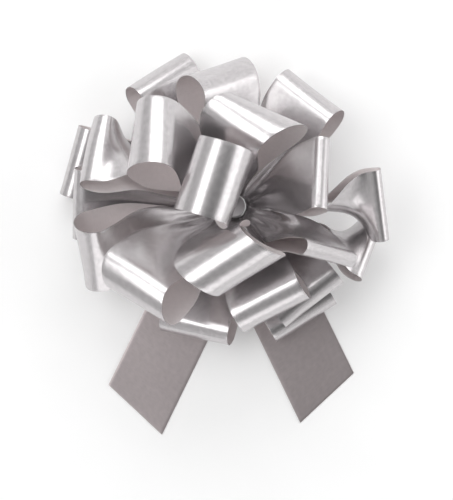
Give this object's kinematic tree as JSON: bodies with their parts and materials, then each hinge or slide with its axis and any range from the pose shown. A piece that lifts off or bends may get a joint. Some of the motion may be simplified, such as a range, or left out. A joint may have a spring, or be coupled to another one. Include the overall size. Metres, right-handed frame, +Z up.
{
  "type": "gift pull bow",
  "caption": "Pre-made satin silver pull bow for gift wrapping: ribbon loops stacked on a gathered core by pull strings, with two slant-cut ribbon tails.",
  "frame": {"origin": "middle of the base seal's flat underside", "axes": "+Z up the core, away from the gift the bow lies on; the two tails run towards -Y; +X to the right when the bow is seen from +Z with its tails down"},
  "size_m": [0.147, 0.1735, 0.0874],
  "materials": {
    "silver_ribbon": "satin metallic film ribbon, finely brushed",
    "sealed_ribbon": "heat-sealed, crimped ribbon",
    "pull_string": "thin satin ribbon string"
  },
  "bodies": {
    "base": {"base_seal": "sealed_ribbon"},
    "pull_strings": {"crown_seal": "sealed_ribbon", "left_string_run": "pull_string", "right_string_run": "pull_string"},
    "string_ends": {"left_string_end": "pull_string", "right_string_end": "pull_string"},
    "seal_1": {"seal_1": "sealed_ribbon"},
    "seal_2": {"seal_2": "sealed_ribbon"},
    "seal_3": {"seal_3": "sealed_ribbon"},
    "seal_4": {"seal_4": "sealed_ribbon"},
    "seal_5": {"seal_5": "sealed_ribbon"},
    "seal_6": {"seal_6": "sealed_ribbon"},
    "seal_7": {"seal_7": "sealed_ribbon"},
    "seal_8": {"seal_8": "sealed_ribbon"},
    "seal_9": {"seal_9": "sealed_ribbon"},
    "low_loop_1": {"low_loop_1": "silver_ribbon"},
    "low_loop_2": {"low_loop_2": "silver_ribbon"},
    "low_loop_3": {"low_loop_3": "silver_ribbon"},
    "low_loop_4": {"low_loop_4": "silver_ribbon"},
    "low_loop_5": {"low_loop_5": "silver_ribbon"},
    "low_loop_6": {"low_loop_6": "silver_ribbon"},
    "low_loop_7": {"low_loop_7": "silver_ribbon"},
    "low_loop_8": {"low_loop_8": "silver_ribbon"},
    "middle_loop_1": {"middle_loop_1": "silver_ribbon"},
    "middle_loop_2": {"middle_loop_2": "silver_ribbon"},
    "middle_loop_3": {"middle_loop_3": "silver_ribbon"},
    "middle_loop_4": {"middle_loop_4": "silver_ribbon"},
    "middle_loop_5": {"middle_loop_5": "silver_ribbon"},
    "middle_loop_6": {"middle_loop_6": "silver_ribbon"},
    "high_loop_1": {"high_loop_1": "silver_ribbon"},
    "high_loop_2": {"high_loop_2": "silver_ribbon"},
    "high_loop_3": {"high_loop_3": "silver_ribbon"},
    "high_loop_4": {"high_loop_4": "silver_ribbon"},
    "top_loop_1": {"top_loop_1": "silver_ribbon"},
    "top_loop_2": {"top_loop_2": "silver_ribbon"},
    "left_tail": {"left_tail": "silver_ribbon"},
    "right_tail": {"right_tail": "silver_ribbon"}
  },
  "joints": [
    {"name": "pull_strings_slide", "type": "slide", "parent": "base", "child": "pull_strings", "axis": [0, 0, 1], "range_m": [0, 0.008]},
    {"name": "string_ends_slide", "type": "slide", "parent": "base", "child": "string_ends", "axis": [0, 1, 0], "range_m": [0, 0.008]},
    {"name": "seal_1_slide", "type": "slide", "parent": "base", "child": "seal_1", "axis": [0, 0, 1], "range_m": [0, 0.0008]},
    {"name": "seal_2_slide", "type": "slide", "parent": "base", "child": "seal_2", "axis": [0, 0, 1], "range_m": [0, 0.0016]},
    {"name": "seal_3_slide", "type": "slide", "parent": "base", "child": "seal_3", "axis": [0, 0, 1], "range_m": [0, 0.0024]},
    {"name": "seal_4_slide", "type": "slide", "parent": "base", "child": "seal_4", "axis": [0, 0, 1], "range_m": [0, 0.0032]},
    {"name": "seal_5_slide", "type": "slide", "parent": "base", "child": "seal_5", "axis": [0, 0, 1], "range_m": [0, 0.004]},
    {"name": "seal_6_slide", "type": "slide", "parent": "base", "child": "seal_6", "axis": [0, 0, 1], "range_m": [0, 0.0048]},
    {"name": "seal_7_slide", "type": "slide", "parent": "base", "child": "seal_7", "axis": [0, 0, 1], "range_m": [0, 0.0056]},
    {"name": "seal_8_slide", "type": "slide", "parent": "base", "child": "seal_8", "axis": [0, 0, 1], "range_m": [0, 0.0064]},
    {"name": "seal_9_slide", "type": "slide", "parent": "base", "child": "seal_9", "axis": [0, 0, 1], "range_m": [0, 0.0072]},
    {"name": "low_loop_1_flex", "type": "hinge", "parent": "base", "child": "low_loop_1", "pos_m": [0.00297, -0.00475, 0.0026], "axis": [-0.848, -0.5299, 0], "range_deg": [-3, 3]},
    {"name": "low_loop_2_flex", "type": "hinge", "parent": "base", "child": "low_loop_2", "pos_m": [-0.00538, 0.00154, 0.0026], "axis": [0.2756, 0.9613, 0], "range_deg": [-3, 0.5]},
    {"name": "low_loop_3_flex", "type": "hinge", "parent": "seal_1", "child": "low_loop_3", "pos_m": [-0.00164, -0.00536, 0.0044], "axis": [-0.9563, 0.2924, 0], "range_deg": [-3, 3]},
    {"name": "low_loop_4_flex", "type": "hinge", "parent": "seal_1", "child": "low_loop_4", "pos_m": [-0.0028, 0.00485, 0.0044], "axis": [0.866, 0.5, 0], "range_deg": [-3, 3]},
    {"name": "low_loop_5_flex", "type": "hinge", "parent": "seal_2", "child": "low_loop_5", "pos_m": [0.00536, -0.00164, 0.0062], "axis": [-0.2924, -0.9563, 0], "range_deg": [-3, 2]},
    {"name": "low_loop_6_flex", "type": "hinge", "parent": "seal_2", "child": "low_loop_6", "pos_m": [0.00321, 0.00459, 0.0062], "axis": [0.8192, -0.5736, 0], "range_deg": [-3, 3]},
    {"name": "low_loop_7_flex", "type": "hinge", "parent": "seal_3", "child": "low_loop_7", "pos_m": [-0.0056, 0.0001, 0.008], "axis": [0.0175, 0.9998, 0], "range_deg": [-1, 1.5]},
    {"name": "low_loop_8_flex", "type": "hinge", "parent": "seal_3", "child": "low_loop_8", "pos_m": [-0.00068, 0.00556, 0.008], "axis": [0.9925, 0.1219, 0], "range_deg": [-3, 3]},
    {"name": "middle_loop_1_flex", "type": "hinge", "parent": "seal_4", "child": "middle_loop_1", "pos_m": [0.0056, 0, 0.0098], "axis": [0, -1, 0], "range_deg": [-2, 3]},
    {"name": "middle_loop_2_flex", "type": "hinge", "parent": "seal_4", "child": "middle_loop_2", "pos_m": [-0.0053, -0.00182, 0.0098], "axis": [-0.3256, 0.9455, 0], "range_deg": [-2, 3]},
    {"name": "middle_loop_3_flex", "type": "hinge", "parent": "seal_5", "child": "middle_loop_3", "pos_m": [0.00352, -0.00435, 0.0116], "axis": [-0.7771, -0.6293, 0], "range_deg": [-3, 1]},
    {"name": "middle_loop_4_flex", "type": "hinge", "parent": "seal_5", "child": "middle_loop_4", "pos_m": [-0.00523, 0.00201, 0.0116], "axis": [0.3584, 0.9336, 0], "range_deg": [-2, 0.5]},
    {"name": "middle_loop_5_flex", "type": "hinge", "parent": "seal_6", "child": "middle_loop_5", "pos_m": [0.0053, 0.00182, 0.0134], "axis": [0.3256, -0.9455, 0], "range_deg": [-3, 1.5]},
    {"name": "middle_loop_6_flex", "type": "hinge", "parent": "seal_6", "child": "middle_loop_6", "pos_m": [-0.00416, -0.00375, 0.0134], "axis": [-0.6691, 0.7431, 0], "range_deg": [-3, 3]},
    {"name": "high_loop_1_flex", "type": "hinge", "parent": "seal_7", "child": "high_loop_1", "pos_m": [-0.00435, 0.00352, 0.0152], "axis": [0.6293, 0.7771, 0], "range_deg": [-0.5, 2]},
    {"name": "high_loop_2_flex", "type": "hinge", "parent": "seal_7", "child": "high_loop_2", "pos_m": [0.00192, -0.00526, 0.0152], "axis": [-0.9397, -0.342, 0], "range_deg": [-1, 2.5]},
    {"name": "high_loop_3_flex", "type": "hinge", "parent": "seal_8", "child": "high_loop_3", "pos_m": [0.00107, 0.0055, 0.017], "axis": [0.9816, -0.1908, 0], "range_deg": [-3, 1]},
    {"name": "high_loop_4_flex", "type": "hinge", "parent": "seal_8", "child": "high_loop_4", "pos_m": [0.00494, -0.00263, 0.017], "axis": [-0.4695, -0.8829, 0], "range_deg": [-3, 0.5]},
    {"name": "top_loop_1_flex", "type": "hinge", "parent": "seal_9", "child": "top_loop_1", "pos_m": [-0.00389, 0.00403, 0.0188], "axis": [0.7193, 0.6947, 0], "range_deg": [-3, 0]},
    {"name": "top_loop_2_flex", "type": "hinge", "parent": "seal_9", "child": "top_loop_2", "pos_m": [-0.00049, -0.00558, 0.0188], "axis": [-0.9962, 0.0872, 0], "range_deg": [-3, 0]},
    {"name": "left_tail_swing", "type": "hinge", "parent": "base", "child": "left_tail", "pos_m": [0, 0, 0], "axis": [0, 0, -1], "range_deg": [0, 12]},
    {"name": "right_tail_swing", "type": "hinge", "parent": "base", "child": "right_tail", "pos_m": [0, 0, 0], "axis": [0, 0, 1], "range_deg": [0, 12]}
  ],
  "couplings": [
    {"joint": "string_ends_slide", "follows": "pull_strings_slide", "ratio": 1},
    {"joint": "seal_1_slide", "follows": "pull_strings_slide", "ratio": 0.1},
    {"joint": "seal_2_slide", "follows": "pull_strings_slide", "ratio": 0.2},
    {"joint": "seal_3_slide", "follows": "pull_strings_slide", "ratio": 0.3},
    {"joint": "seal_4_slide", "follows": "pull_strings_slide", "ratio": 0.4},
    {"joint": "seal_5_slide", "follows": "pull_strings_slide", "ratio": 0.5},
    {"joint": "seal_6_slide", "follows": "pull_strings_slide", "ratio": 0.6},
    {"joint": "seal_7_slide", "follows": "pull_strings_slide", "ratio": 0.7},
    {"joint": "seal_8_slide", "follows": "pull_strings_slide", "ratio": 0.8},
    {"joint": "seal_9_slide", "follows": "pull_strings_slide", "ratio": 0.9}
  ]
}
